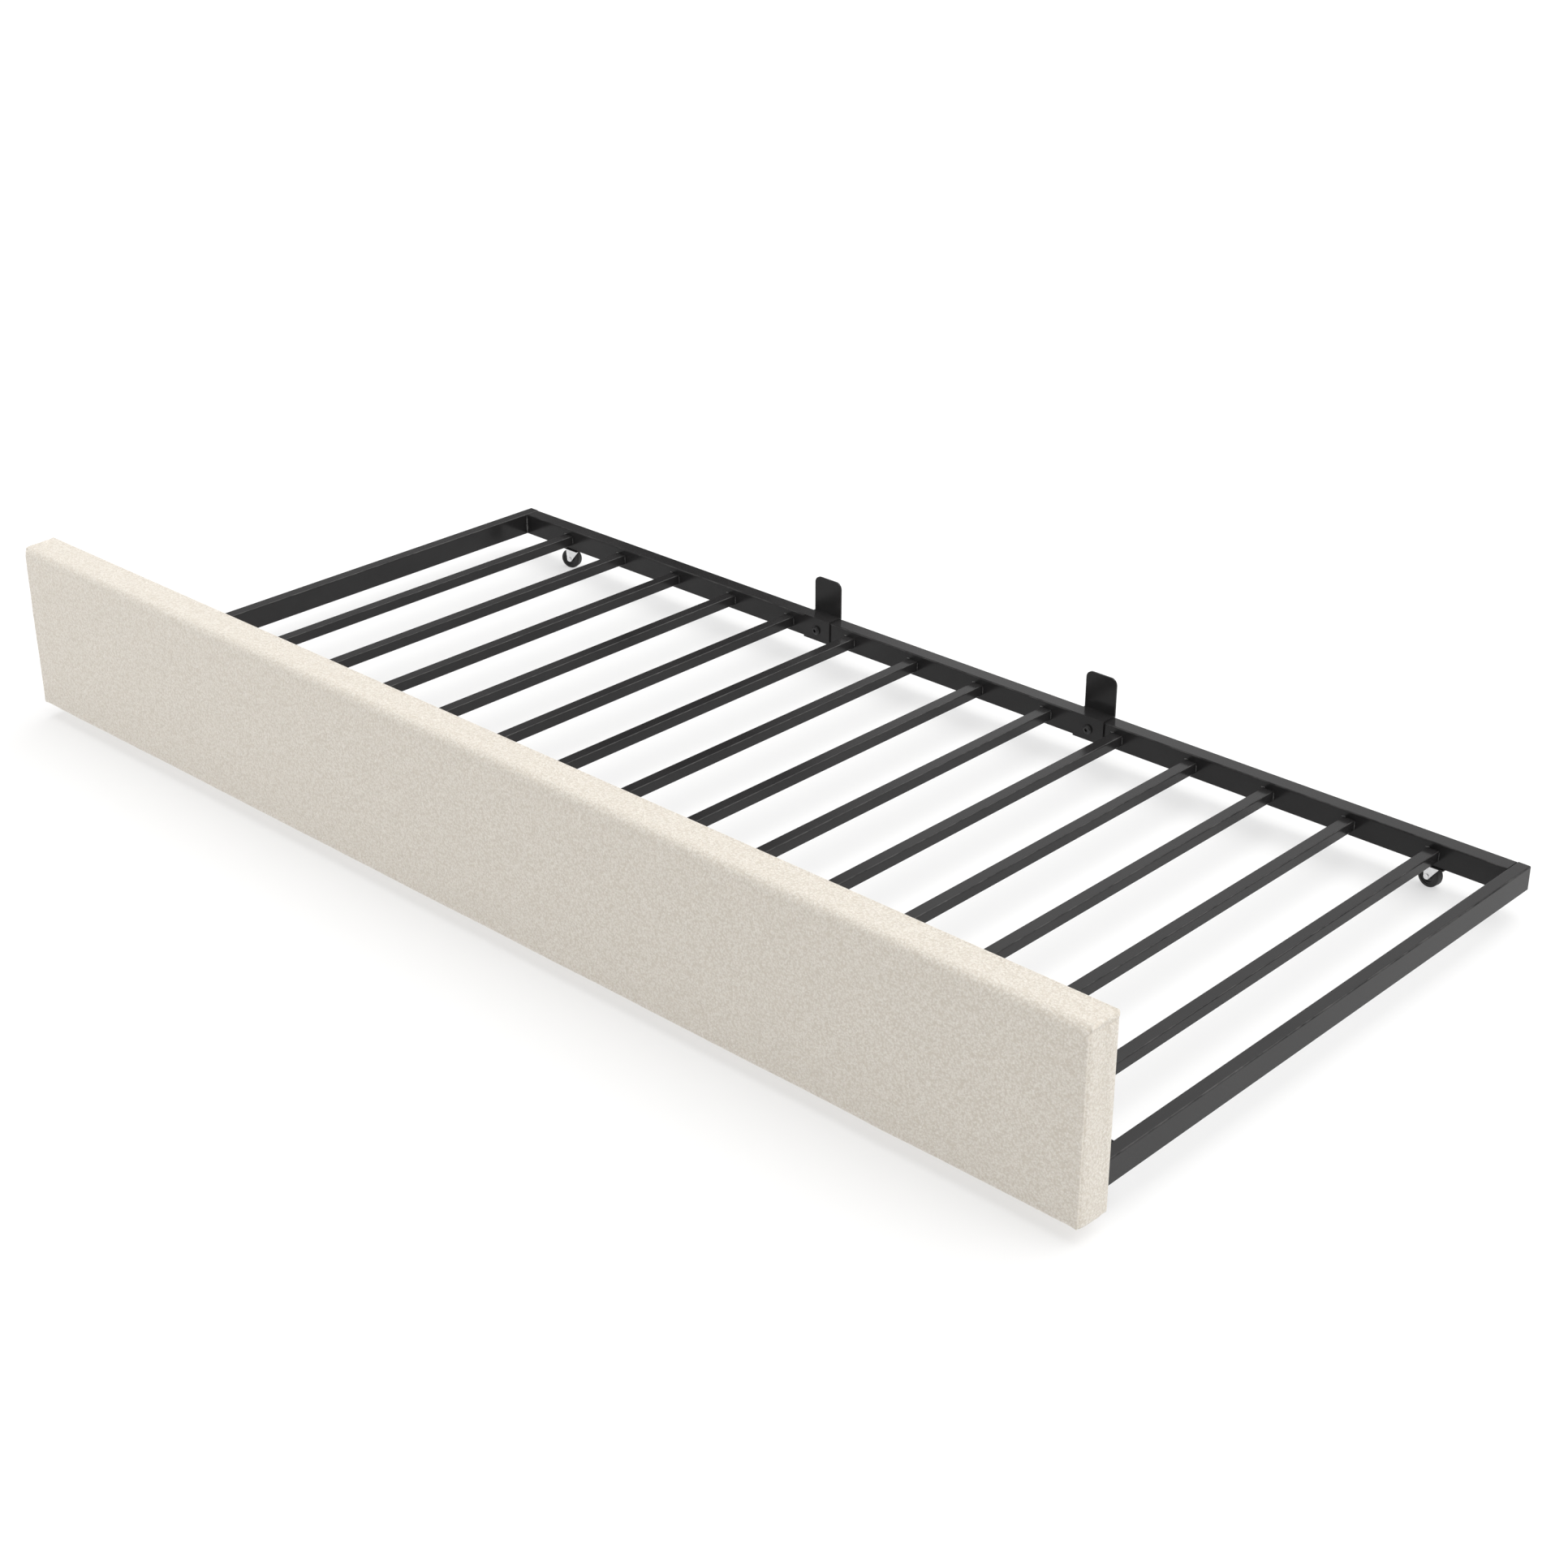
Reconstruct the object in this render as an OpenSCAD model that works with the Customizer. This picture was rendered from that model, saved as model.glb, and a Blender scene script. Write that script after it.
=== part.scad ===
// Trundle bed: a low slatted steel frame on four swivel casters, with an upholstered front panel
// and two mattress stops on the rear rail. Millimetres, +Z up. The floor is z = 0, +X runs along
// the length, the panel faces -Y, and the origin is under the middle of the whole bed.

/* [Frame] */
// Outer length of the steel frame
frame_length = 1900; // [1500:10:2100]
// Outer depth of the steel frame
frame_depth = 907; // [700:1:1100]
// Height of the frame's top above the floor
frame_top = 72; // [70:1:150]
// Height of the rail tubes
rail_h = 35; // [25:1:50]
// Width of the side rails
side_w = 19; // [15:1:40]
// Depth of the rear rail
rear_w = 26; // [20:1:50]
// Depth of the front rail, behind the panel
front_w = 50; // [50:1:60]
// Wall of the rail tubes
rail_wall = 1.5; // [1:0.1:1.8]
// Outer corner radius of the rail tubes
rail_r = 2; // [2:0.5:4]

/* [Slats] */
// Distance from slat to slat
slat_pitch = 127; // [80:1:140]
// Width of a slat tube
slat_w = 18; // [12:1:40]
// Height of a slat tube
slat_h = 16; // [10:1:24]
// Drop of the slat tops below the rail tops
slat_drop = 10; // [0:1:15]
// Wall of the slat tubes
slat_wall = 1.2; // [0.8:0.1:1.3]
// Outer corner radius of the slat tubes
slat_r = 1.5; // [1.5:0.5:4]

/* [Mattress stops] */
// Half the distance between the stops
stop_x = 263; // [150:1:500]
// Shift of both stops to the right of the bed's middle
stop_shift = 5; // [0:1:20]
// Width of a stop plate
stop_w = 53; // [30:1:90]
// Height of a stop above the frame
stop_h = 59; // [30:1:120]
// Thickness of the stop plate
stop_t = 2.5; // [2:0.1:5]
// Radius of the stop's top corners
stop_r = 10.5; // [3:0.5:20]

/* [Front panel] */
// Length of the panel
panel_l = 1930; // [1500:1:2150]
// Height of the panel
panel_h = 249; // [150:1:300]
// Thickness of the panel
panel_t = 53; // [40:1:80]
// Gap between the floor and the panel
panel_z = 22; // [15:1:60]
// Thickness of the board in the panel
board_t = 15; // [9:1:18]
// Thickness of the fabric with its backing
skin_t = 2; // [1:0.5:3]
// Radius of the panel's top front edge
pad_r = 14; // [6:1:20]
// Radius of the panel's bottom and end front edges
edge_r = 5; // [4:0.5:12]

/* [Casters] */
// Distance of each caster from the middle of the bed
caster_x = 825.5; // [600:0.5:850]
// Radius of a wheel
wheel_r = 16.5; // [15:0.5:18]
// Width of a wheel
wheel_w = 13; // [12:1:16]
// Offset of the axle from the swivel pin
caster_trail = 7; // [4:0.5:12]

/* [Hidden] */
$fn = 48;
slat_count = 14;
eps = 0.01;

// stop bolts and nuts
bolt_r = 4;
bolt_hole_r = 4.3;
bolt_head_r = 7;
bolt_head_h = 4.5;
bolt_socket_af = 5;
nut_h = 8;
nut_af = 13;
nut_flange_r = 8.5;
nut_flange_h = 1.6;
bolt_out = 10;

// panel bolts and the inserts they screw into
pbolt_r = 3;
pbolt_hole_r = 3.2;
pbolt_head_r = 5.5;
pbolt_head_h = 3.3;
pbolt_grip = 13;
insert_r = 5;
panel_bolt_x = [-800, -300, 300, 800];

// backing cloth
backing_t = 0.8;
backing_in = 28;
backing_gap = 6;
backing_top = 22;

// caster details
plate_t = 1.4;
plate_l = 38;
plate_w = 30;
pin_r = 3;
pin_head_r = 4;
pin_head_h = 0.6;
running = 0.05;
fork_gap = 0.2;
fork_t = 1.4;
fork_back = 16;
fork_front = 13;
fork_corner_r = 5;
arm_t = 1.4;
arm_in = 7.4;
arm_eye_r = 4.5;
axle_r = 2.5;
axle_head_r = 3.8;
axle_head_h = 1.2;
hub_r = 11.5;
hub_web = 8;
hub_boss_r = 5.5;
hub_rim = 2.2;
tread_r = 2.5;
front_caster_in = 30;

// the way each caster is turned, from trailing straight to the left
turn_rear_left = 17;
turn_rear_right = -7.5;
turn_front_left = 9;
turn_front_right = -14;

plug_in = 14;

// places
depth = panel_t + frame_depth + bolt_out;
y_front = -depth / 2 + panel_t;
y_rear = y_front + frame_depth;
y_inner_front = y_front + front_w;
y_inner_rear = y_rear - rear_w;
z_rail = frame_top - rail_h;
z_mid = frame_top - rail_h / 2;
z_slat = frame_top - slat_drop - slat_h;
cross_l = frame_length - 2 * side_w;
y_caster_rear = y_rear - rear_w / 2;
y_caster_front = y_front + front_caster_in;
z_plate = z_rail - plate_t;
z_fork = z_plate - fork_gap - fork_t;

steel = [0.15, 0.15, 0.155];
zinc = [0.75, 0.76, 0.78];
black = [0.07, 0.07, 0.075];
cream = [0.93, 0.91, 0.87];
foam = [0.95, 0.9, 0.7];
mdf = [0.68, 0.54, 0.38];

// The section of a drawn tube with rounded corners, its lower left corner on the origin.
module tube_section(w, h, wall, r) {
    difference() {
        rounded(w, h, r);
        translate([wall, wall]) rounded(w - 2 * wall, h - 2 * wall, r - wall);
    }
}

module rounded(w, h, r) {
    translate([r, 0]) square([w - 2 * r, h]);
    translate([0, r]) square([w, h - 2 * r]);
    for (x = [r, w - r], y = [r, h - r])
        translate([x, y]) circle(r = r);
}

// A tube lying along Y, centred on x = 0 and with its base on z = 0.
module tube_y(w, h, len, wall, r)
    translate([-w / 2, len, 0]) rotate([90, 0, 0])
        linear_extrude(height = len) tube_section(w, h, wall, r);

// A tube lying along X, centred on x = 0, its near face on y = 0 and its base on z = 0.
module tube_x(w, h, len, wall, r)
    translate([-len / 2, 0, 0]) rotate([90, 0, 90])
        linear_extrude(height = len) tube_section(w, h, wall, r);

// A round bar along Y that starts at the given point.
module rod_y(x, y, z, r, len) {
    translate([x, y + len, z]) rotate([90, 0, 0]) cylinder(r = r, h = len);
}

module front_rail() color(steel)
    difference() {
        translate([0, y_front, z_rail]) tube_x(front_w, rail_h, cross_l, rail_wall, rail_r);
        for (x = panel_bolt_x)
            rod_y(x, y_front - 1, z_mid, pbolt_hole_r, front_w + 2);
    }

module rear_rail() color(steel)
    difference() {
        translate([0, y_inner_rear, z_rail]) tube_x(rear_w, rail_h, cross_l, rail_wall, rail_r);
        for (side = [-1, 1])
            rod_y(stop_shift + side * stop_x, y_inner_rear - 1, z_mid, bolt_hole_r, rear_w + 2);
    }

module side_rail(side) color(steel)
    translate([side * (frame_length - side_w) / 2, y_front, z_rail])
        tube_y(side_w, rail_h, frame_depth, rail_wall, rail_r);

module left_side_rail() side_rail(-1);
module right_side_rail() side_rail(1);

module side_rail_plugs() color(black)
    for (side = [-1, 1], y = [y_front, y_rear - plug_in])
        translate([side * (frame_length - side_w) / 2, y + plug_in / 2, z_mid])
            cube([side_w - 2 * rail_r, plug_in, rail_h - 2 * rail_r], center = true);

module slat(i) color(steel)
    translate([(i - (slat_count + 1) / 2) * slat_pitch, y_inner_front, z_slat])
        tube_y(slat_w, slat_h, y_inner_rear - y_inner_front, slat_wall, slat_r);

module slat_01() slat(1);
module slat_02() slat(2);
module slat_03() slat(3);
module slat_04() slat(4);
module slat_05() slat(5);
module slat_06() slat(6);
module slat_07() slat(7);
module slat_08() slat(8);
module slat_09() slat(9);
module slat_10() slat(10);
module slat_11() slat(11);
module slat_12() slat(12);
module slat_13() slat(13);
module slat_14() slat(14);

// A folded plate: a flange on the rail's inner face, a strip over its top and an upright.
module stop_plate(side) color(steel)
    translate([stop_shift + side * stop_x, 0, 0])
        difference() {
            union() {
                translate([-stop_w / 2, y_inner_rear - stop_t, z_rail])
                    cube([stop_w, stop_t, rail_h + stop_t]);
                translate([-stop_w / 2, y_inner_rear - stop_t, frame_top])
                    cube([stop_w, rear_w + stop_t, stop_t]);
                translate([0, y_rear, frame_top]) rotate([90, 0, 0])
                    linear_extrude(height = stop_t) stop_outline();
            }
            rod_y(0, y_inner_rear - stop_t - 1, z_mid, bolt_hole_r, stop_t + 2);
        }

module stop_outline() {
    translate([-stop_w / 2, 0]) square([stop_w, stop_h - stop_r]);
    translate([-stop_w / 2 + stop_r, 0]) square([stop_w - 2 * stop_r, stop_h]);
    for (side = [-1, 1])
        translate([side * (stop_w / 2 - stop_r), stop_h - stop_r]) circle(r = stop_r);
}

module left_stop() stop_plate(-1);
module right_stop() stop_plate(1);

module stop_bolts() color(black)
    for (side = [-1, 1])
        translate([stop_shift + side * stop_x, y_inner_rear - stop_t, z_mid]) rotate([90, 0, 0])
            difference() {
                union() {
                    cylinder(r = bolt_head_r, h = bolt_head_h / 2);
                    translate([0, 0, bolt_head_h / 2])
                        cylinder(r1 = bolt_head_r, r2 = bolt_head_r * 0.7, h = bolt_head_h / 2);
                    translate([0, 0, -rear_w - stop_t - bolt_out])
                        cylinder(r = bolt_r, h = rear_w + stop_t + bolt_out + eps);
                }
                translate([0, 0, bolt_head_h / 2])
                    cylinder(d = bolt_socket_af * 1.1547, h = bolt_head_h, $fn = 6);
            }

module stop_nuts() color(black)
    for (side = [-1, 1])
        translate([stop_shift + side * stop_x, y_rear, z_mid]) rotate([-90, 0, 0])
            difference() {
                union() {
                    cylinder(r = nut_flange_r, h = nut_flange_h);
                    cylinder(d = nut_af * 1.1547, h = nut_h, $fn = 6);
                }
                translate([0, 0, -1]) cylinder(r = bolt_r, h = nut_h + 2);
            }

// The panel's rounded block, brought in by the given amount on every side.
module panel_block(inset) {
    intersection() {
        translate([-panel_l / 2, 0, 0]) rotate([90, 0, 90])
            translate([y_front - panel_t, panel_z]) linear_extrude(height = panel_l)
                panel_section(panel_t, panel_h, inset, edge_r, pad_r);
        translate([0, 0, panel_z - 1]) linear_extrude(height = panel_h + 2)
            rotate(90) translate([y_front - panel_t, -panel_l / 2])
                panel_section(panel_t, panel_l, inset, edge_r, edge_r);
    }
}

// A rectangle whose left corners are rounded, with radius r0 at the bottom and r1 at the top.
module panel_section(w, h, inset, r0, r1) {
    difference() {
        translate([inset, inset]) square([w - 2 * inset, h - 2 * inset]);
        section_corner(inset, r0 - inset);
        translate([0, h]) mirror([0, 1, 0]) section_corner(inset, r1 - inset);
    }
}

module section_corner(inset, r)
    difference() {
        translate([inset - 1, inset - 1]) square([r + 1, r + 1]);
        translate([inset + r, inset + r]) circle(r = r);
    }

module behind_foam(y0, y1)
    translate([-panel_l, y0, 0]) cube([2 * panel_l, y1 - y0, panel_z + panel_h + 10]);

module panel_cover() color(cream)
    difference() {
        panel_block(0);
        panel_block(skin_t);
        for (x = panel_bolt_x)
            rod_y(x, y_front - skin_t - 1, z_mid, pbolt_r, skin_t + 2);
    }

module panel_foam() color(foam)
    difference() {
        panel_block(skin_t);
        behind_foam(y_front - skin_t - board_t, y_front + 10);
    }

module panel_board() color(mdf)
    difference() {
        panel_block(skin_t);
        behind_foam(y_front - panel_t - 10, y_front - skin_t - board_t);
        for (x = panel_bolt_x)
            rod_y(x, y_front - skin_t - pbolt_grip, z_mid, insert_r, pbolt_grip + 1);
    }

// The thin cloth over the panel's back, above the front rail.
module panel_backing() color(black)
    translate([-panel_l / 2 + backing_in, y_front, frame_top + backing_gap])
        cube([panel_l - 2 * backing_in, backing_t, panel_z + panel_h - frame_top - backing_gap - backing_top]);

module panel_bolts() color(black)
    for (x = panel_bolt_x) {
        rod_y(x, y_front - skin_t - pbolt_grip + 1, z_mid, pbolt_r, skin_t + pbolt_grip - 1 + front_w);
        rod_y(x, y_inner_front, z_mid, pbolt_head_r, pbolt_head_h);
    }

module panel_inserts() color(zinc)
    for (x = panel_bolt_x)
        difference() {
            rod_y(x, y_front - skin_t - pbolt_grip, z_mid, insert_r, pbolt_grip);
            rod_y(x, y_front - skin_t - pbolt_grip + 1, z_mid, pbolt_r, pbolt_grip);
        }

module caster_plate(side, y) color(steel)
    translate([side * caster_x, y, z_plate])
        difference() {
            translate([-plate_l / 2, -plate_w / 2, 0]) cube([plate_l, plate_w, plate_t]);
            translate([0, 0, -1]) cylinder(r = pin_r, h = plate_t + 2);
        }

module caster_pin(side, y) color(zinc)
    translate([side * caster_x, y, 0]) {
        translate([0, 0, z_fork - pin_head_h]) cylinder(r = pin_head_r, h = pin_head_h);
        translate([0, 0, z_fork - eps]) cylinder(r = pin_r, h = z_rail - z_fork + eps);
    }

// Moves a caster's turning parts to their place and turns them about the pin.
module turned(side, y, turn)
    translate([side * caster_x, y, 0]) rotate(turn) children();

// The pressed fork: a top plate that turns on the pin and two arms that taper to the axle.
module caster_fork(side, y, turn) color(zinc)
    turned(side, y, turn)
        difference() {
            union() {
                translate([0, 0, z_fork]) linear_extrude(height = fork_t) fork_top();
                for (arm_y = [-arm_in - arm_t, arm_in])
                    translate([0, arm_y + arm_t, 0]) rotate([90, 0, 0])
                        linear_extrude(height = arm_t) fork_arm();
            }
            translate([0, 0, z_fork - 1]) cylinder(r = pin_r + running, h = fork_t + 2);
            rod_y(-caster_trail, -arm_in - arm_t - 1, wheel_r, axle_r, 2 * (arm_in + arm_t) + 2);
        }

module fork_top() {
    half = arm_in + arm_t;
    r = fork_corner_r;
    translate([-fork_back + r, -half]) square([fork_back + fork_front - 2 * r, 2 * half]);
    translate([-fork_back, -half + r]) square([fork_back + fork_front, 2 * (half - r)]);
    for (x = [-fork_back + r, fork_front - r], y = [-half + r, half - r])
        translate([x, y]) circle(r = r);
}

module fork_arm() {
    back = -fork_back + fork_corner_r - 2;
    front = fork_front - fork_corner_r + 3;
    polygon([[back, z_fork + fork_t / 2], [front, z_fork + fork_t / 2], [front, z_fork - 1],
        [-caster_trail + arm_eye_r * 0.9, wheel_r - arm_eye_r * 0.42],
        [-caster_trail - arm_eye_r * 0.97, wheel_r - arm_eye_r * 0.22], [back, z_fork - 1]]);
    translate([-caster_trail, wheel_r]) circle(r = arm_eye_r);
}

module caster_axle(side, y, turn) color(zinc)
    turned(side, y, turn) translate([-caster_trail, 0, wheel_r]) {
        rod_y(0, -arm_in - arm_t - axle_head_h, 0, axle_head_r, axle_head_h);
        rod_y(0, -arm_in - arm_t - eps, 0, axle_r, 2 * (arm_in + arm_t) + 2 * eps);
        rod_y(0, arm_in + arm_t, 0, axle_head_r, axle_head_h);
    }

// The hub, a half section turned about the axle.
module caster_hub(side, y, turn) color(black)
    turned(side, y, turn) translate([-caster_trail, 0, wheel_r]) rotate([90, 0, 0]) rotate_extrude()
        polygon([[axle_r + running, -wheel_w / 2], [hub_boss_r, -wheel_w / 2], [hub_boss_r, -hub_web / 2],
            [hub_r - hub_rim, -hub_web / 2], [hub_r - hub_rim, -wheel_w / 2 + 1], [hub_r, -wheel_w / 2 + 1],
            [hub_r, wheel_w / 2 - 1], [hub_r - hub_rim, wheel_w / 2 - 1], [hub_r - hub_rim, hub_web / 2],
            [hub_boss_r, hub_web / 2], [hub_boss_r, wheel_w / 2], [axle_r + running, wheel_w / 2]]);

// The tyre, a half section with rounded shoulders turned about the axle.
module caster_tyre(side, y, turn) color(black)
    turned(side, y, turn) translate([-caster_trail, 0, wheel_r]) rotate([90, 0, 0]) rotate_extrude()
        difference() {
            translate([hub_r, -wheel_w / 2]) square([wheel_r - hub_r, wheel_w]);
            for (z = [0, 1])
                mirror([0, z, 0]) translate([wheel_r - tread_r, wheel_w / 2 - tread_r]) difference() {
                    square([tread_r + 1, tread_r + 1]);
                    circle(r = tread_r);
                }
        }

module rear_left_plate() caster_plate(-1, y_caster_rear);
module rear_left_pin() caster_pin(-1, y_caster_rear);
module rear_left_fork() caster_fork(-1, y_caster_rear, turn_rear_left);
module rear_left_axle() caster_axle(-1, y_caster_rear, turn_rear_left);
module rear_left_hub() caster_hub(-1, y_caster_rear, turn_rear_left);
module rear_left_tyre() caster_tyre(-1, y_caster_rear, turn_rear_left);
module rear_right_plate() caster_plate(1, y_caster_rear);
module rear_right_pin() caster_pin(1, y_caster_rear);
module rear_right_fork() caster_fork(1, y_caster_rear, turn_rear_right);
module rear_right_axle() caster_axle(1, y_caster_rear, turn_rear_right);
module rear_right_hub() caster_hub(1, y_caster_rear, turn_rear_right);
module rear_right_tyre() caster_tyre(1, y_caster_rear, turn_rear_right);
module front_left_plate() caster_plate(-1, y_caster_front);
module front_left_pin() caster_pin(-1, y_caster_front);
module front_left_fork() caster_fork(-1, y_caster_front, turn_front_left);
module front_left_axle() caster_axle(-1, y_caster_front, turn_front_left);
module front_left_hub() caster_hub(-1, y_caster_front, turn_front_left);
module front_left_tyre() caster_tyre(-1, y_caster_front, turn_front_left);
module front_right_plate() caster_plate(1, y_caster_front);
module front_right_pin() caster_pin(1, y_caster_front);
module front_right_fork() caster_fork(1, y_caster_front, turn_front_right);
module front_right_axle() caster_axle(1, y_caster_front, turn_front_right);
module front_right_hub() caster_hub(1, y_caster_front, turn_front_right);
module front_right_tyre() caster_tyre(1, y_caster_front, turn_front_right);

front_rail();
rear_rail();
left_side_rail();
right_side_rail();
side_rail_plugs();
slat_01();
slat_02();
slat_03();
slat_04();
slat_05();
slat_06();
slat_07();
slat_08();
slat_09();
slat_10();
slat_11();
slat_12();
slat_13();
slat_14();
left_stop();
right_stop();
stop_bolts();
stop_nuts();
panel_cover();
panel_foam();
panel_board();
panel_backing();
panel_bolts();
panel_inserts();
rear_left_plate();
rear_left_pin();
rear_left_fork();
rear_left_axle();
rear_left_hub();
rear_left_tyre();
rear_right_plate();
rear_right_pin();
rear_right_fork();
rear_right_axle();
rear_right_hub();
rear_right_tyre();
front_left_plate();
front_left_pin();
front_left_fork();
front_left_axle();
front_left_hub();
front_left_tyre();
front_right_plate();
front_right_pin();
front_right_fork();
front_right_axle();
front_right_hub();
front_right_tyre();
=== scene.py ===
"""Looks of the trundle bed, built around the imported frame. Metres, +Z up, the panel faces -Y."""

import math

import bpy
import numpy as np
from mathutils import Euler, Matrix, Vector, noise


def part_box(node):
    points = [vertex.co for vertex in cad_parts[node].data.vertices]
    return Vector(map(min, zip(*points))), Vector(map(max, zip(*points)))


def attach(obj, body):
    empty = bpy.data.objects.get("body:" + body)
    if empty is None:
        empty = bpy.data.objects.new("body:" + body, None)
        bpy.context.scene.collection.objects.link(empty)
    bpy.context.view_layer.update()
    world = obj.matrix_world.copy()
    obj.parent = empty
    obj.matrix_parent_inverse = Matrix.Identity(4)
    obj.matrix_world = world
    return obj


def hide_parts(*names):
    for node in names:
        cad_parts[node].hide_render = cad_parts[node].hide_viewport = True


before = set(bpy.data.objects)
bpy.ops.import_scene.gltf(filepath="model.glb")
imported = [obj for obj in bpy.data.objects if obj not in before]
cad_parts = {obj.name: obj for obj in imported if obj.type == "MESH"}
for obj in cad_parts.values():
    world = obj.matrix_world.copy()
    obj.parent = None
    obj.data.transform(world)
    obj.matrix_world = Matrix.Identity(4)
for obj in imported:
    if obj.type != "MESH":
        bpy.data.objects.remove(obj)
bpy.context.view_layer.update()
MM = 0.001
CASTERS = ("rear_left", "rear_right", "front_left", "front_right")
RAILS = ("front_rail", "rear_rail", "left_side_rail", "right_side_rail")
SLATS = [f"slat_{i:02d}" for i in range(1, 15)]


# ---------------------------------------------------------------- camera, light and floor

def camera():
    data = bpy.data.cameras.new("camera")
    data.lens = 60.06
    data.sensor_width = 36.0
    data.clip_end = 100.0
    obj = bpy.data.objects.new("camera", data)
    obj.location = (2.26333, -2.31486, 1.65218)
    obj.rotation_euler = Euler((math.radians(63.4983), math.radians(0.0266), math.radians(43.1575)))
    bpy.context.scene.collection.objects.link(obj)
    bpy.context.scene.camera = obj


def area_light(name, place, target, size, watts, colour=(1, 1, 1)):
    data = bpy.data.lights.new(name, "AREA")
    data.shape = "RECTANGLE"
    data.size, data.size_y = size
    data.energy = watts
    data.color = colour
    obj = bpy.data.objects.new(name, data)
    obj.location = place
    obj.rotation_euler = (Vector(target) - Vector(place)).to_track_quat("-Z", "Y").to_euler()
    bpy.context.scene.collection.objects.link(obj)


def sun(name, direction, spread, strength, colour):
    data = bpy.data.lights.new(name, "SUN")
    data.angle = math.radians(spread)
    data.energy = strength
    data.color = colour
    obj = bpy.data.objects.new(name, data)
    obj.rotation_euler = Vector(direction).to_track_quat("-Z", "Y").to_euler()
    bpy.context.scene.collection.objects.link(obj)


# The studio's wall from 9 to 60 degrees up: (degrees from +Y towards +X, brightness). SKY is the rest.
# It is what the metal's tops reflect. The dark gap in it is where their tone drops along the bed.
WALL = ((-120, 0.30), (-96, 0.30), (-82, 0.30), (-52, 0.44), (-49, 0.32), (-47.5, 0.0),
        (-42.4, 0.0), (-41.3, 0.80), (-40.0, 1.12), (-14, 0.92), (0, 0.30))
SKY = 0.30
WALL_START, WALL_SPAN = -120.0, 120.0

# The floor is round, and its rim curves up into a low wall, so that a level view sees no edge.
# Its points are (radius, height).
FLOOR_PROFILE = ((40.0, 0.0), (52.0, 0.15), (58.0, 0.9), (60.5, 2.6), (61.0, 8.8))
FLOOR_SIDES = 96
FLOOR_GREY = 0.42
FLOOR_GLOW = 0.55


def studio_world():
    world = bpy.data.worlds.new("studio")
    bpy.context.scene.world = world
    world.use_nodes = True
    background = world.node_tree.nodes["Background"]
    n = Nodes(world.node_tree, background)
    part = n.add("ShaderNodeSeparateXYZ", {0: n.add("ShaderNodeTexCoord").outputs["Generated"]}).outputs
    turn = n.math("ARCTAN2", part[0], part[1])
    up = n.math("ARCSINE", part[2])
    along = n.span(turn, math.radians(WALL_START), math.radians(WALL_START + WALL_SPAN))
    ramp = n.add("ShaderNodeValToRGB", {0: along})
    stops = ramp.color_ramp.elements
    while len(stops) < len(WALL):
        stops.new(0.5)
    for stop, (degrees, level) in zip(stops, WALL):
        stop.position = (degrees - WALL_START) / WALL_SPAN
        stop.color = (level, level, level, 1.0)
    inside = n.math("MULTIPLY", n.span(up, math.radians(9), math.radians(14)),
                    n.span(up, math.radians(60), math.radians(48)))
    n.put("Color", n.mix(inside, (SKY, SKY, SKY), ramp.outputs["Color"]))


def studio():
    bpy.context.scene.view_settings.view_transform = "Standard"
    studio_world()
    sun("key", (-0.21, -0.26, -1.0), 75.0, 2.90, (1.0, 0.995, 0.985))
    area_light("side", (4.6, 1.2, 1.7), (0, 0, 0.1), (2.4, 2.0), 25.0)
    area_light("front_left", (-2.9, -3.4, 1.6), (-1.1, 0, 0.1), (2.0, 2.0), 38.0)
    cyclorama()


def cyclorama():
    """The studio's round floor and low wall, lit a little from within so that it stays pale far away."""
    sides = FLOOR_SIDES
    points = [(r * math.cos(2 * math.pi * i / sides), r * math.sin(2 * math.pi * i / sides), z)
              for r, z in FLOOR_PROFILE for i in range(sides)]
    faces = [tuple(range(sides))]
    for k in range(len(FLOOR_PROFILE) - 1):
        ring, above = k * sides, (k + 1) * sides
        faces += [(ring + i, ring + (i + 1) % sides, above + (i + 1) % sides, above + i)
                  for i in range(sides)]
    mesh = bpy.data.meshes.new("floor")
    mesh.from_pydata(points, [], faces)
    for side in mesh.polygons[1:]:
        side.use_smooth = True
    floor = bpy.data.objects.new("floor", mesh)
    bpy.context.scene.collection.objects.link(floor)
    material, n = shader("studio_floor", (FLOOR_GREY, FLOOR_GREY, FLOOR_GREY), roughness=0.95, specular=0.0)
    n.bsdf.inputs["Emission Color"].default_value = (1.0, 1.0, 1.0, 1.0)
    n.bsdf.inputs["Emission Strength"].default_value = FLOOR_GLOW
    mesh.materials.append(material)


# ---------------------------------------------------------------- materials

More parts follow.
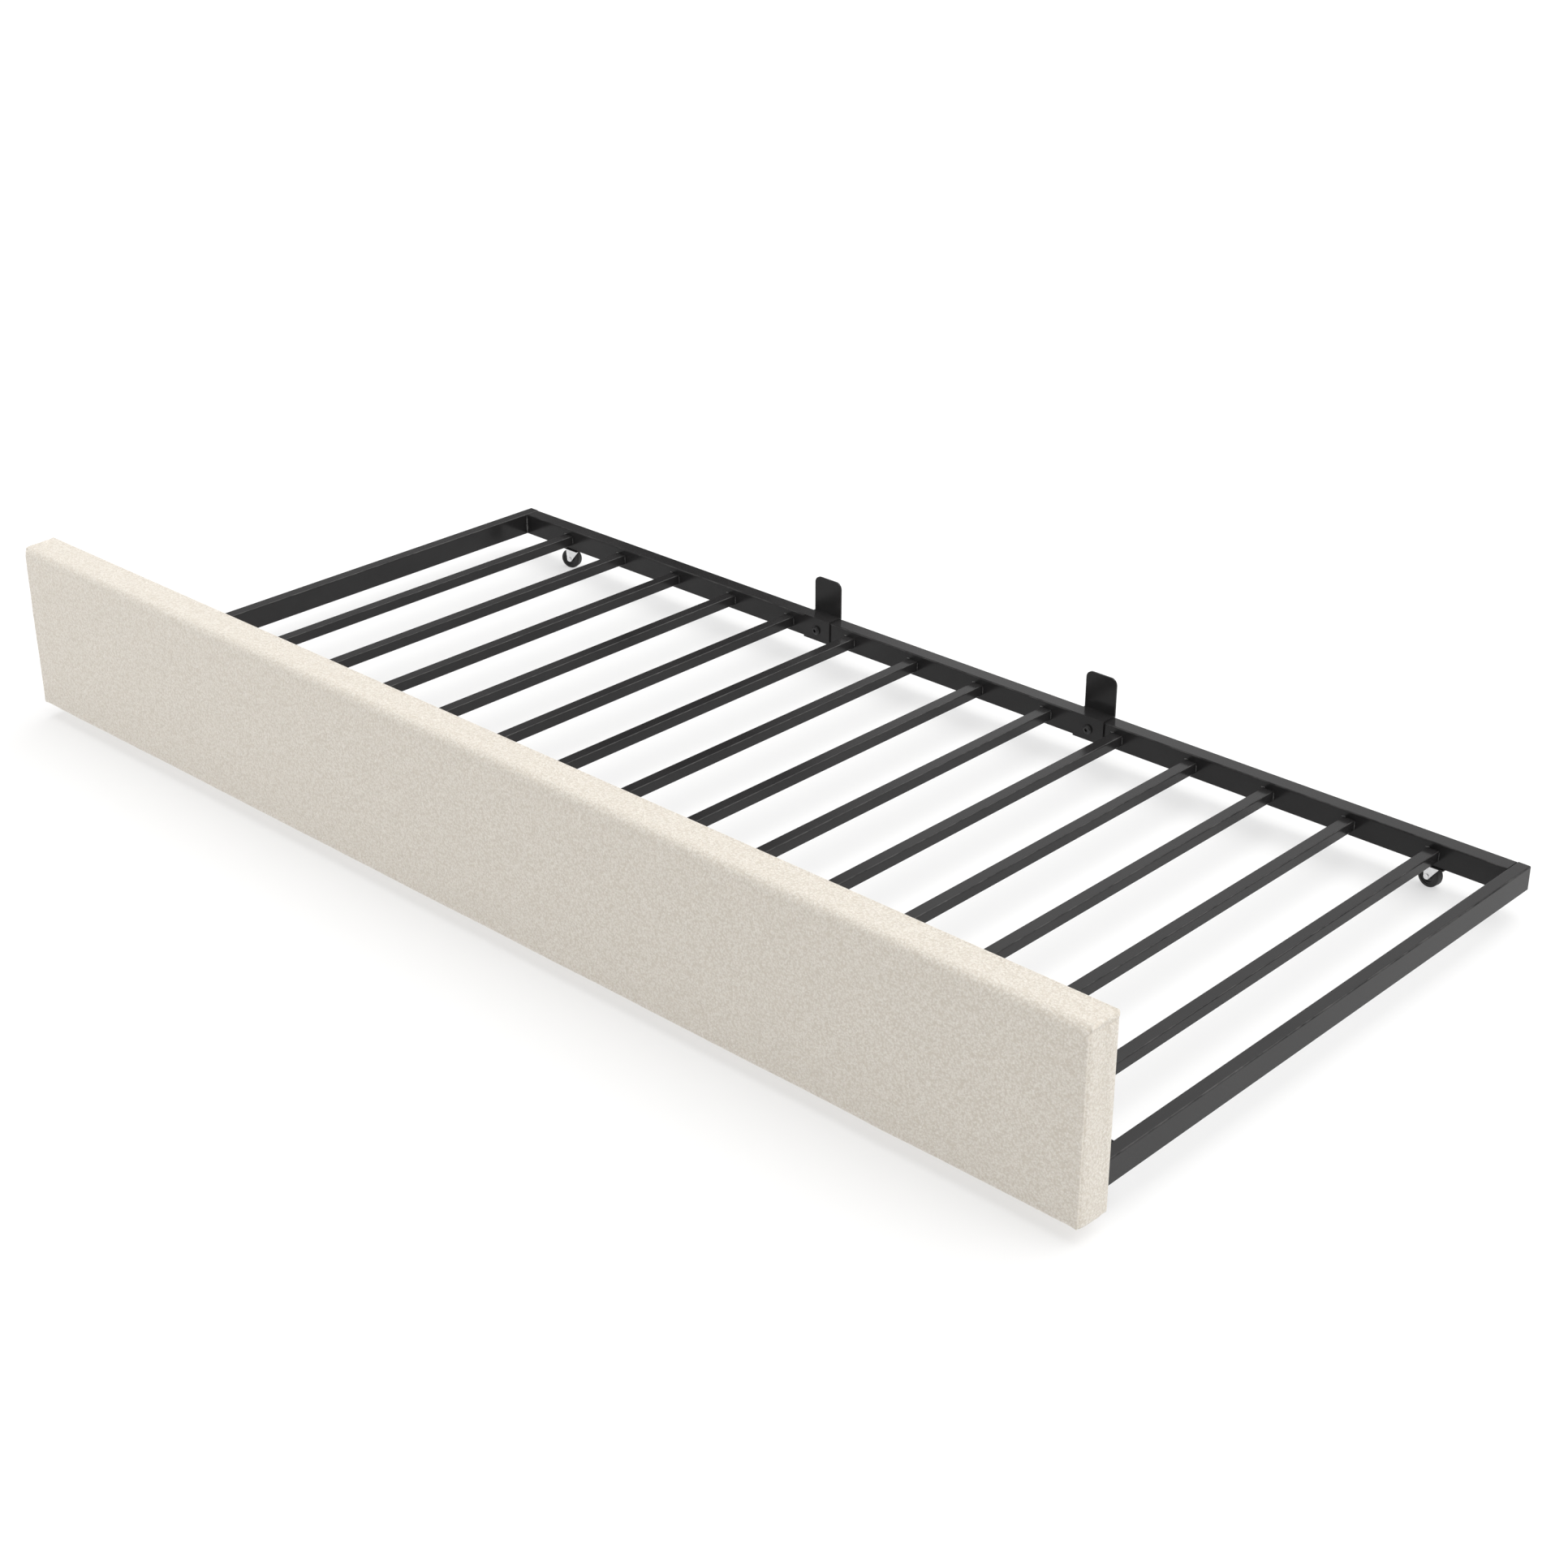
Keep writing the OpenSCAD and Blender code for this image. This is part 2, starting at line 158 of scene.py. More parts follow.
class Nodes:
    """A short way to write node trees: numbers and sockets may be given to any input by name or index."""

    def __init__(self, tree, bsdf):
        self.tree, self.bsdf = tree, bsdf

    def add(self, kind, values=None, **settings):
        node = self.tree.nodes.new(kind)
        for key, value in settings.items():
            setattr(node, key, value)
        for key, value in (values or {}).items():
            if isinstance(value, bpy.types.NodeSocket):
                self.tree.links.new(value, node.inputs[key])
            else:
                node.inputs[key].default_value = value
        return node

    def place(self):
        return self.add("ShaderNodeTexCoord").outputs["Object"]

    def noise(self, where, scale, detail=2.0, rough=0.5, distortion=0.0):
        values = {"Vector": where, "Scale": scale, "Detail": detail, "Roughness": rough,
                  "Distortion": distortion}
        return self.add("ShaderNodeTexNoise", values).outputs["Fac"]

    def math(self, operation, a, b=0.0, clamp=False):
        return self.add("ShaderNodeMath", {0: a, 1: b}, operation=operation, use_clamp=clamp).outputs[0]

    def span(self, value, low, high, to_low=0.0, to_high=1.0):
        values = {"Value": value, "From Min": low, "From Max": high, "To Min": to_low, "To Max": to_high}
        return self.add("ShaderNodeMapRange", values, clamp=True).outputs["Result"]

    def mix(self, factor, a, b):
        node = self.add("ShaderNodeMix", data_type="RGBA")
        for socket, value in ((node.inputs[0], factor), (node.inputs[6], a), (node.inputs[7], b)):
            if isinstance(value, bpy.types.NodeSocket):
                self.tree.links.new(value, socket)
            else:
                socket.default_value = value if isinstance(value, float) else (*value, 1.0)
        return node.outputs[2]

    def bump(self, height, strength, distance, normal=None):
        values = {"Height": height, "Strength": strength, "Distance": distance}
        if normal is not None:
            values["Normal"] = normal
        return self.add("ShaderNodeBump", values).outputs["Normal"]

    def brushed(self, where, along_z, scale):
        """Fine scratches: noise squeezed along Z."""
        squeezed = self.add("ShaderNodeMapping", {"Vector": where, "Scale": (1.0, 1.0, along_z)}).outputs[0]
        return self.noise(squeezed, scale, 3.0, 0.6)

    def put(self, name, socket):
        self.tree.links.new(socket, self.bsdf.inputs[name])


def shader(name, colour, roughness=0.5, metallic=0.0, specular=0.5):
    material = bpy.data.materials.new(name)
    material.use_nodes = True
    tree = material.node_tree
    bsdf = tree.nodes["Principled BSDF"]
    bsdf.inputs["Base Color"].default_value = (*colour, 1.0)
    bsdf.inputs["Roughness"].default_value = roughness
    bsdf.inputs["Metallic"].default_value = metallic
    bsdf.inputs["Specular IOR Level"].default_value = specular
    return material, Nodes(tree, bsdf)


def edges_of(n):
    """1 on the rounded corners of a tube, 0 on its flat sides: a corner's normal lies between two axes."""
    normal = n.add("ShaderNodeTexCoord").outputs["Normal"]
    part = n.add("ShaderNodeSeparateXYZ", {0: normal}).outputs
    squares = [n.math("MULTIPLY", part[i], part[i]) for i in range(3)]
    pairs = [n.math("MULTIPLY", squares[i], squares[(i + 1) % 3]) for i in range(3)]
    total = n.math("ADD", n.math("ADD", pairs[0], pairs[1]), pairs[2])
    return n.span(total, 0.02, 0.2)


def powder_coat():
    """Satin charcoal paint with a slight orange peel, a few pale flecks and lighter corners: wear in patches,
    and a painted highlight along the edges.
    """
    material, n = shader("powder_coat_charcoal", (0.02, 0.02, 0.02), roughness=0.2, specular=0.5)
    n.bsdf.inputs["IOR"].default_value = 1.28
    where = n.place()
    grain = n.noise(where, 1500.0, 2.0)
    peel = n.noise(where, 260.0, 3.0, 0.55)
    cloud = n.noise(where, 5.5, 4.0, 0.6)
    fleck = n.noise(where, 2600.0, 1.0)
    # the corners' mask: partly wear in patches, partly a painted highlight along the tubes' edges
    edge_wear_and_highlight = n.math("MULTIPLY", edges_of(n), n.span(n.noise(where, 34.0, 5.0, 0.65), 0.38, 0.66))
    base = n.mix(n.span(cloud, 0.3, 0.7), (0.0170, 0.0165, 0.0168), (0.0250, 0.0242, 0.0245))
    base = n.mix(n.span(fleck, 0.6, 0.75, 0.0, 0.35), base, (0.06, 0.059, 0.06))
    # paints the corners paler: wear, and a painted edge highlight
    base = n.mix(n.math("MULTIPLY", edge_wear_and_highlight, 0.75), base, (0.085, 0.083, 0.082))
    n.put("Base Color", base)
    rough = n.math("ADD", n.span(cloud, 0.3, 0.7, 0.16, 0.22), n.span(grain, 0.3, 0.7, -0.03, 0.03))
    n.put("Roughness", n.math("SUBTRACT", rough, n.math("MULTIPLY", edge_wear_and_highlight, 0.03)))
    height = n.math("ADD", n.math("MULTIPLY", grain, 0.35), peel)
    n.put("Normal", n.bump(height, 0.07, 0.0003))
    return material


def weld_metal():
    """Paint-coated weld, rippled. Its colour is a little paler than the tubes' and lightest on the ripples'
    crests: a painted glint.
    """
    material, n = shader("weld_bead_coated", (0.05, 0.05, 0.05), roughness=0.3, specular=0.6)
    where = n.place()
    ripple = n.noise(where, 700.0, 3.0, 0.6)
    # paler colour, lightest on the ripples' crests: a painted glint
    n.put("Base Color", n.mix(n.span(ripple, 0.35, 0.65), (0.03, 0.0295, 0.0295), (0.17, 0.168, 0.165)))
    n.put("Roughness", n.span(ripple, 0.3, 0.7, 0.28, 0.42))
    n.put("Normal", n.bump(ripple, 0.35, 0.0006))
    return material


def black_oxide():
    """Blackened steel of the bolts and nuts."""
    material, n = shader("black_oxide_bolt", (0.03, 0.03, 0.032), roughness=0.36, metallic=0.75, specular=0.5)
    where = n.place()
    scratch = n.brushed(where, 9.0, 900.0)
    soft = n.noise(where, 120.0, 3.0)
    n.put("Base Color", n.mix(n.span(soft, 0.35, 0.7), (0.026, 0.026, 0.028), (0.07, 0.069, 0.068)))
    n.put("Roughness", n.span(scratch, 0.3, 0.7, 0.28, 0.46))
    n.put("Normal", n.bump(scratch, 0.15, 0.0003))
    return material


def zinc_plate():
    """Bright zinc plating, brushed, with dull spots."""
    material, n = shader("zinc_plated_steel", (0.72, 0.73, 0.75), roughness=0.34, metallic=0.85, specular=0.5)
    where = n.place()
    brushed = n.brushed(where, 14.0, 520.0)
    cloud = n.noise(where, 90.0, 4.0, 0.6)
    spots = n.noise(where, 420.0, 2.0)
    base = n.mix(n.span(cloud, 0.3, 0.7), (0.74, 0.745, 0.755), (0.9, 0.9, 0.905))
    n.put("Base Color", n.mix(n.span(spots, 0.64, 0.78, 0.0, 0.5), base, (0.42, 0.42, 0.42)))
    streaks = n.span(brushed, 0.3, 0.7, -0.05, 0.05)
    n.put("Roughness", n.math("ADD", n.span(cloud, 0.3, 0.7, 0.28, 0.4), streaks))
    n.put("Normal", n.bump(brushed, 0.12, 0.0003))
    return material


def moulded(name, dark, light, rough, grain_scale, strength):
    """Grained black plastic or rubber."""
    material, n = shader(name, dark, roughness=rough, specular=0.45)
    where = n.place()
    grain = n.noise(where, grain_scale, 3.0, 0.6)
    cloud = n.noise(where, 60.0, 3.0)
    n.put("Base Color", n.mix(n.span(n.math("ADD", grain, cloud), 0.75, 1.3), dark, light))
    n.put("Roughness", n.span(grain, 0.3, 0.7, rough - 0.06, rough + 0.08))
    n.put("Normal", n.bump(grain, strength, 0.0004))
    return material


def teddy_fabric():
    """Cream fabric with a short curly nap: curls about 1.5 mm across, lying in slow patches."""
    material, n = shader("teddy_fabric_cream", (0.8, 0.75, 0.68), roughness=0.95, specular=0.12)
    where = n.place()
    drift = n.add("ShaderNodeTexNoise", {"Vector": where, "Scale": 300.0, "Detail": 2.0}).outputs["Color"]
    centred = n.add("ShaderNodeVectorMath", {0: drift, 1: (0.5, 0.5, 0.5)}, operation="SUBTRACT").outputs[0]
    push = n.add("ShaderNodeVectorMath", {0: centred, "Scale": 0.0052}, operation="SCALE").outputs[0]
    warped = n.add("ShaderNodeVectorMath", {0: where, 1: push}, operation="ADD").outputs[0]
    curl = n.add("ShaderNodeTexVoronoi", {"Vector": warped, "Scale": 360.0}, feature="F1").outputs["Distance"]
    loops = n.math("SUBTRACT", 1.0, n.span(curl, 0.0, 0.75))
    fibre = n.noise(warped, 1150.0, 3.0, 0.7, 1.2)
    tuft = n.noise(where, 210.0, 3.0, 0.6, 0.4)
    patch = n.noise(where, 16.0, 3.0, 0.55)
    height = n.math("ADD", n.math("MULTIPLY", loops, 0.6), n.math("MULTIPLY", fibre, 0.5))
    height = n.math("ADD", height, n.math("MULTIPLY", tuft, 0.34))
    # the nap's colour darkens in its valleys and pales on its crests: painted shade in the hollows between
    # the curls
    nap_painted_shade = n.span(height, 0.38, 1.06)
    base = n.mix(nap_painted_shade, (0.70, 0.635, 0.545), (0.985, 0.945, 0.875))
    base = n.mix(n.span(patch, 0.3, 0.7, 0.0, 0.07), base, (0.76, 0.71, 0.64))
    n.put("Base Color", base)
    n.put("Normal", n.bump(height, 0.68, 0.0022))
    n.bsdf.inputs["Sheen Weight"].default_value = 0.45
    n.bsdf.inputs["Sheen Roughness"].default_value = 0.5
    n.bsdf.inputs["Sheen Tint"].default_value = (1.0, 0.98, 0.95, 1.0)
    return material


def dust_cloth():
    """Thin black non-woven cloth with a stamped pattern of small points."""
    material, n = shader("dust_cloth_black", (0.02, 0.02, 0.022), roughness=0.9, specular=0.25)
    where = n.place()
    grid = {"Vector": where, "Scale": 620.0, "Randomness": 0.25}
    points = n.add("ShaderNodeTexVoronoi", grid, feature="F1")
    stamp = n.span(points.outputs["Distance"], 0.15, 0.45)
    strands = n.noise(where, 1900.0, 3.0, 0.7, 1.2)
    height = n.math("ADD", stamp, n.math("MULTIPLY", strands, 0.6))
    n.put("Base Color", n.mix(n.span(height, 0.4, 1.3), (0.012, 0.012, 0.013), (0.034, 0.034, 0.036)))
    n.put("Normal", n.bump(height, 0.4, 0.0005))
    n.bsdf.inputs["Sheen Weight"].default_value = 0.25
    n.bsdf.inputs["Sheen Roughness"].default_value = 0.4
    return material


def fibreboard():
    """The panel's bare board."""
    material, n = shader("fibreboard", (0.42, 0.3, 0.19), roughness=0.8, specular=0.3)
    where = n.place()
    fibre = n.noise(where, 900.0, 4.0, 0.7, 1.0)
    n.put("Base Color", n.mix(fibre, (0.33, 0.23, 0.14), (0.5, 0.37, 0.25)))
    n.put("Normal", n.bump(fibre, 0.3, 0.0005))
    return material


def paint(node, material):
    """Gives every material slot of a CAD node this material."""
    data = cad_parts[node].data
    if not data.materials:
        data.materials.append(material)
    for i in range(len(data.materials)):
        data.materials[i] = material


# ---------------------------------------------------------------- the panel's upholstery

CORE_DEPTH = 15 * MM    # how deep under the block's faces its points are pushed out from
SLACK = 1.0 * MM        # how far inside the CAD's cover the cloth starts
SWELL_CAP = 2.4 * MM    # how far the cloth may swell
SWELL_PRESSURE = 4.0
FOAM_GIVE = 0.5 * MM    # how far the cloth may sink into the foam
CLOTH_FRAMES = 20
PADDING_RELIEF = 0.9 * MM
NAP_RELIEF = 0.34 * MM


def spacing(length, fine, coarse, edge, growth=0.35):
    """Grid lines from 0 to length: fine within edge of both ends, growing to coarse between them."""
    cells = []
    at = 0.0
    while at < length / 2:
        depth = max(0.0, at - edge)
        cell = min(coarse, fine + depth * growth)
        cells.append(cell)
        at += cell
    half = np.cumsum([0.0] + cells)
    half *= (length / 2) / half[-1]
    return np.concatenate([half, length - half[-2::-1]])


def box_grid(xs, ys, zs):
    """A closed box of quads on the given grid lines."""
    index, points, faces = {}, [], []

    def at(i, j, k):
        key = (i, j, k)
        if key not in index:
            index[key] = len(points)
            points.append((xs[i], ys[j], zs[k]))
        return index[key]

    nx, ny, nz = len(xs) - 1, len(ys) - 1, len(zs) - 1
    for i in range(nx):
        for k in range(nz):
            faces.append((at(i, 0, k), at(i + 1, 0, k), at(i + 1, 0, k + 1), at(i, 0, k + 1)))
            faces.append((at(i, ny, k), at(i, ny, k + 1), at(i + 1, ny, k + 1), at(i + 1, ny, k)))
    for i in range(nx):
        for j in range(ny):
            faces.append((at(i, j, 0), at(i, j + 1, 0), at(i + 1, j + 1, 0), at(i + 1, j, 0)))
            faces.append((at(i, j, nz), at(i + 1, j, nz), at(i + 1, j + 1, nz), at(i, j + 1, nz)))
    for j in range(ny):
        for k in range(nz):
            faces.append((at(0, j, k), at(0, j, k + 1), at(0, j + 1, k + 1), at(0, j + 1, k)))
            faces.append((at(nx, j, k), at(nx, j + 1, k), at(nx, j + 1, k + 1), at(nx, j, k + 1)))
    return np.array(points, float), faces


def rounded_section(u, v, half_u, half_v, radius):
    """Distance to a rectangle with rounded corners, its radius given at each point."""
    qu, qv = np.abs(u) - half_u + radius, np.abs(v) - half_v + radius
    outside = np.hypot(np.maximum(qu, 0), np.maximum(qv, 0))
    return outside + np.minimum(np.maximum(qu, qv), 0) - radius


def panel_distance(p, centre, half):
    """Distance to the padded block: a large radius at the top front, small ones elsewhere."""
    q = p - centre
    front, top = q[:, 1] < 0, q[:, 2] > 0
    yz_radius = np.where(front & top, 14 * MM, np.where(front, 3.5 * MM, 4 * MM))
    xy_radius = np.where(front, 2.5 * MM, 6 * MM)
    # the top corners are softest at the front: the board's own corners lie under them at the back
    forward = np.clip(0.5 - q[:, 1] / (2 * half[1]), 0, 1)
    xz_radius = np.where(top, (3.2 + 1.3 * forward) * MM, 3 * MM)
    a = rounded_section(q[:, 1], q[:, 2], half[1], half[2], yz_radius)
    b = rounded_section(q[:, 0], q[:, 1], half[0], half[1], xy_radius)
    c = rounded_section(q[:, 0], q[:, 2], half[0], half[2], xz_radius)
    return np.maximum(np.maximum(a, b), c)


def fit_to_block(points, centre, half):
    """Moves a box's points along lines from its core to where the padded block's surface is."""
    core = half - CORE_DEPTH
    inner = centre + np.clip(points - centre, -core, core)
    reach = points - inner
    low, high = np.zeros(len(points)), np.full(len(points), 1.05)
    halvings = 26
    for _ in range(halvings):
        middle = (low + high) / 2
        inside = panel_distance(inner + reach * middle[:, None], centre, half) < 0
        low, high = np.where(inside, middle, low), np.where(inside, high, middle)
    return inner + reach * low[:, None]


def mesh_object(name, points, faces, smooth=True):
    mesh = bpy.data.meshes.new(name)
    mesh.from_pydata([tuple(p) for p in points], [], faces)
    mesh.update()
    if smooth:
        mesh.polygons.foreach_set("use_smooth", [True] * len(mesh.polygons))
    obj = bpy.data.objects.new(name, mesh)
    bpy.context.scene.collection.objects.link(obj)
    return obj


def positions(mesh):
    flat = np.empty(len(mesh.vertices) * 3, np.float32)
    mesh.vertices.foreach_get("co", flat)
    return flat.reshape(-1, 3).astype(float)


def set_positions(mesh, points):
    mesh.vertices.foreach_set("co", points.astype(np.float32).ravel())
    mesh.update()


def normals(mesh):
    flat = np.empty(len(mesh.vertices) * 3, np.float32)
    mesh.vertex_normals.foreach_get("vector", flat)
    return flat.reshape(-1, 3).astype(float)


def inflate(obj, pinned, outward, backed):
    """Lets the cloth swell under pressure, then keeps it within SWELL_CAP of where it started.

    outward points away from the padding. Where backed is 1 a board lies right under the cloth, which can't
    sink into it. Elsewhere it sinks no more than FOAM_GIVE."""
    start = positions(obj.data)
    group = obj.vertex_groups.new(name="pin")
    group.add([int(i) for i in np.nonzero(pinned)[0]], 1.0, "REPLACE")
    cloth = obj.modifiers.new("swell", "CLOTH")
    settings = cloth.settings
    settings.quality = 6
    settings.mass = 0.35
    settings.tension_stiffness = settings.compression_stiffness = 18.0
    settings.shear_stiffness = 12.0
    settings.bending_stiffness = 1.2
    settings.use_pressure = True
    settings.uniform_pressure_force = SWELL_PRESSURE
    settings.effector_weights.gravity = 0.0
    settings.vertex_group_mass = "pin"
    cloth.collision_settings.use_collision = False
    cloth.collision_settings.use_self_collision = False
    scene = bpy.context.scene
    cloth.point_cache.frame_start, cloth.point_cache.frame_end = 1, CLOTH_FRAMES
    for i in range(1, CLOTH_FRAMES + 1):
        scene.frame_set(i)
    shaped = obj.evaluated_get(bpy.context.evaluated_depsgraph_get())
    end = positions(shaped.data)
    obj.modifiers.remove(cloth)
    obj.vertex_groups.remove(group)
    scene.frame_set(1)
    move = end - start
    length = np.linalg.norm(move, axis=1)
    move *= (SWELL_CAP * np.tanh(length / SWELL_CAP) / np.maximum(length, 1e-9))[:, None]
    inward = np.minimum((move * outward).sum(1), 0.0)
    allowed = -FOAM_GIVE * (1 - backed)
    move += outward * (np.maximum(inward, allowed) - inward)[:, None]
    set_positions(obj.data, start + move)


def subdivide(obj):
    """Subdivides the mesh once and applies it."""
    modifier = obj.modifiers.new("fine", "SUBSURF")
    modifier.levels = modifier.render_levels = 1
    shaped = obj.evaluated_get(bpy.context.evaluated_depsgraph_get())
    mesh = bpy.data.meshes.new_from_object(shaped)
    obj.modifiers.clear()
    old = obj.data
    obj.data = mesh
    mesh.name = old.name
    bpy.data.meshes.remove(old)


def step(value, low, high):
    """0 below low, 1 above high and smooth between them."""
    t = np.clip((value - low) / (high - low), 0, 1)
    return t * t * (3 - 2 * t)


def dip(value, at, width):
    """A soft bump, 1 where value is at."""
    return np.exp(-(((value - at) / width) ** 2))


def field(points, scale, seed):
    """Smooth noise at the points. Each seed has a field of its own."""
    shift = Vector((seed * 7.31, seed * 3.17, seed * 5.77))
    return np.array([noise.noise(Vector(p) * scale + shift) for p in points])


def upholstery(material):
    """The padded front: the cloth, the foam under it and the board's edges, as one closed piece."""
    low, high = (np.array(corner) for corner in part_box("panel_cover"))
    size, centre = high - low, (low + high) / 2
    xs = low[0] + spacing(size[0], 1.4 * MM, 8.0 * MM, 16 * MM)
    ys = low[1] + spacing(size[1], 1.5 * MM, 3.5 * MM, 6 * MM)
    zs = low[2] + spacing(size[2], 1.8 * MM, 7.0 * MM, 16 * MM)
    points, faces = box_grid(xs, ys, zs)
    points = fit_to_block(points, centre, size / 2)
    back = step(points[:, 1], high[1] - 12 * MM, high[1] - 3 * MM)
    core = size / 2 - CORE_DEPTH
    away = points - (centre + np.clip(points - centre, -core, core))
    away /= np.linalg.norm(away, axis=1)[:, None]
    points -= away * (SLACK * (1 - back))[:, None]
    obj = mesh_object("panel_upholstery", points, faces)
    backed = step(points[:, 1], high[1] - 26 * MM, high[1] - 18 * MM)
    inflate(obj, points[:, 1] > high[1] - 4 * MM, away, backed)
    subdivide(obj)
    p, out = positions(obj.data), normals(obj.data)
    end = step(np.abs(p[:, 0]), high[0] - 7 * MM, high[0] - 3 * MM)
    from_front = p[:, 1] - low[1]
    from_top = high[2] - p[:, 2]
    move = np.zeros(len(p))
    # the seam down each end, where the front's cloth meets the end's
    move -= 1.1 * MM * end * dip(from_front, 3.2 * MM, 1.3 * MM)
    # the end's cloth lies a little lower than the folded top edge, and swells between its edges
    move += 0.8 * MM * end * dip(from_top, 5.0 * MM, 3.0 * MM)
    move -= 0.9 * MM * end * dip(from_top, 10.5 * MM, 2.2 * MM)
    belly = np.clip((from_front - 4 * MM) / (size[1] - 10 * MM), 0, 1)
    move += 1.3 * MM * end * np.sin(np.pi * belly) * step(from_top, 12 * MM, 40 * MM)
    # the tuck at the top back corner
    tuck = from_front - (size[1] - 13 * MM) + 0.55 * from_top
    reach = step(from_top, 1 * MM, 4 * MM) * (1 - step(from_top, 16 * MM, 26 * MM))
    move -= 0.8 * MM * end * dip(tuck, 0.0, 1.8 * MM) * reach
    # slow unevenness of the padding, then the nap itself
    padding = field(p, 9.0, 1) * 0.6 + field(p, 24.0, 2) * 0.3
    free = 1 - step(p[:, 1], high[1] - 8 * MM, high[1] - 2 * MM)
    move += padding * PADDING_RELIEF * free
    nap = field(p, 150.0, 3) * 0.5 + field(p, 330.0, 4) * 0.5
    move += nap * NAP_RELIEF * free
    p += out * move[:, None]
    set_positions(obj.data, p)
    obj.data.materials.append(material)
    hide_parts("panel_cover", "panel_foam")
    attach(obj, "frame")


STAPLE_PITCH = 42 * MM
STAPLE_INSET = 5 * MM
STAPLE_HALF = 5 * MM
STAPLE_WIRE = 0.45 * MM
CLOTH_CELL = 4 * MM


def backing(material, staple_material):
    """The black dust cloth over the panel's back, held by a row of staples round its edge."""
    low, high = (np.array(corner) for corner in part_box("panel_backing"))
    width, height = high[0] - low[0], high[2] - low[2]
    across, up = int(width / CLOTH_CELL), int(height / CLOTH_CELL)
    xs, zs = np.linspace(low[0], high[0], across + 1), np.linspace(low[2], high[2], up + 1)
    points = []
    for z in zs:
        for x in xs:
            side = min(x - low[0], high[0] - x)
            rise = min(z - low[2], high[2] - z)
            edge = min(side, rise)
            # the cloth lifts a little between two staples
            along = x if rise < side else z
            scallop = 0.5 - 0.5 * math.cos(2 * math.pi * along / STAPLE_PITCH)
            lift = 1.1 * MM * scallop * math.exp(-edge / (14 * MM))
            crease = 0.6 * MM * noise.noise(Vector((x * 16, 1.7, z * 30)))
            y = low[1] + 1.0 * MM + lift + crease
            fold = 0.6 * MM * math.exp(-edge / (3 * MM))
            points.append((x, y - fold * 0.5, z))
    row = across + 1
    faces = [(r * row + c + 1, r * row + c, (r + 1) * row + c, (r + 1) * row + c + 1)
             for r in range(up) for c in range(across)]
    obj = mesh_object("panel_backing_cloth", points, faces)
    obj.data.materials.append(material)
    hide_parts("panel_backing")
    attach(obj, "frame")
    wire = staples(low, high, staple_material)


def staples(low, high, material):
    """Staples all round the cloth's box, their legs through the cloth and into the board."""
    y = low[1] + 1.6 * MM
    places = []
    x = low[0] + STAPLE_PITCH / 2
    while x < high[0]:
        places.append((Vector((x, y, high[2] - STAPLE_INSET)), Vector((1, 0, 0))))
        places.append((Vector((x, y, low[2] + STAPLE_INSET)), Vector((1, 0, 0))))
        x += STAPLE_PITCH
    z = low[2] + STAPLE_PITCH
    while z < high[2] - STAPLE_PITCH / 2:
        places.append((Vector((low[0] + STAPLE_INSET, y, z)), Vector((0, 0, 1))))
        places.append((Vector((high[0] - STAPLE_INSET, y, z)), Vector((0, 0, 1))))
        z += STAPLE_PITCH
    points, faces = [], []
    leg, bend = Vector((0, -2.2 * MM, 0)), Vector((0, -0.4 * MM, 0))
    for middle, along in places:
        end, crown = along * STAPLE_HALF, along * (STAPLE_HALF - 0.8 * MM)
        path = [middle - end + leg, middle - end + bend, middle - crown,
                middle + crown, middle + end + bend, middle + end + leg]
        add_tube(points, faces, path, [STAPLE_WIRE] * len(path), 6)
    wire = mesh_object("panel_staples", points, faces)
    wire.data.materials.append(material)
    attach(wire, "frame")
    return wire


# ---------------------------------------------------------------- welds

SLAT_BEAD, TACK_BEAD, CORNER_BEAD, UNDER_BEAD, PLATE_BEAD = 0.55 * MM, 0.8 * MM, 1.5 * MM, 1.4 * MM, 1.1 * MM


def add_tube(points, faces, path, radii, sides):
    """Adds a closed tube along path to the lists."""
    first = len(points)
    count = len(path)
    for i, at in enumerate(path):
        ahead = (path[min(i + 1, count - 1)] - path[max(i - 1, 0)]).normalized()
        across = ahead.orthogonal().normalized()
        other = ahead.cross(across)
        for s in range(sides):
            angle = 2 * math.pi * s / sides
            points.append(tuple(at + (across * math.cos(angle) + other * math.sin(angle)) * radii[i]))
    for i in range(count - 1):
        for s in range(sides):
            a, b = first + i * sides + s, first + i * sides + (s + 1) % sides
            faces.append((a, b, b + sides, a + sides))
    faces.append(tuple(first + s for s in reversed(range(sides))))
    faces.append(tuple(first + (count - 1) * sides + s for s in range(sides)))


def bead(points, faces, start, end, radius, seed):
    """A weld bead from start to end: a lumpy tube with tapered ends, half sunk in the joint."""
    length = (end - start).length
    rings = max(6, int(length / (0.9 * MM)))
    path, radii = [], []
    for i in range(rings + 1):
        t = i / rings
        wobble = noise.noise(Vector((seed * 3.1, t * length * 300, 0.5)))
        ripple = 0.12 * math.sin(t * length / MM * 2.6 + seed)
        taper = min(1.0, 0.25 + 3.2 * min(t, 1 - t))
        radii.append(radius * taper * (1.0 + 0.3 * wobble + ripple))
        shift = Vector((noise.noise(Vector((seed, t * 4, 1))), noise.noise(Vector((seed, t * 4, 2))), 0))
        path.append(start.lerp(end, t) + shift * 0.3 * MM)
    add_tube(points, faces, path, radii, 10)


